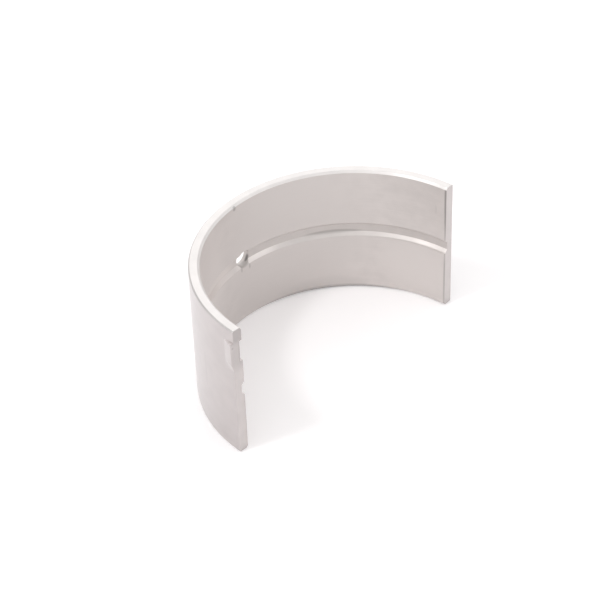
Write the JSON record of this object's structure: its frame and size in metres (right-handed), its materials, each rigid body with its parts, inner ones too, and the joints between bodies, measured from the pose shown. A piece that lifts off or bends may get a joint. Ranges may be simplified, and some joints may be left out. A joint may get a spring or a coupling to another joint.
{
  "type": "engine bearing shell",
  "caption": "Half shell of a plain main bearing: a thin steel half ring with a central oil groove, an oil hole at its crown, chamfered ends and a pressed locating tang.",
  "frame": {"origin": "on the bearing axis, half way along the shell's width", "axes": "+Z along the bearing axis, up as the shell stands on its end; +Y to the crown and the oil hole; +X to the plain parting face, with the tang at the -X end near the top"},
  "size_m": [0.0724, 0.0346, 0.0336],
  "materials": {
    "bearing_steel": "fine-turned satin grey, paler on the end faces and chamfers"
  },
  "bodies": {
    "root": {"bearing_shell": "bearing_steel"}
  },
  "joints": []
}
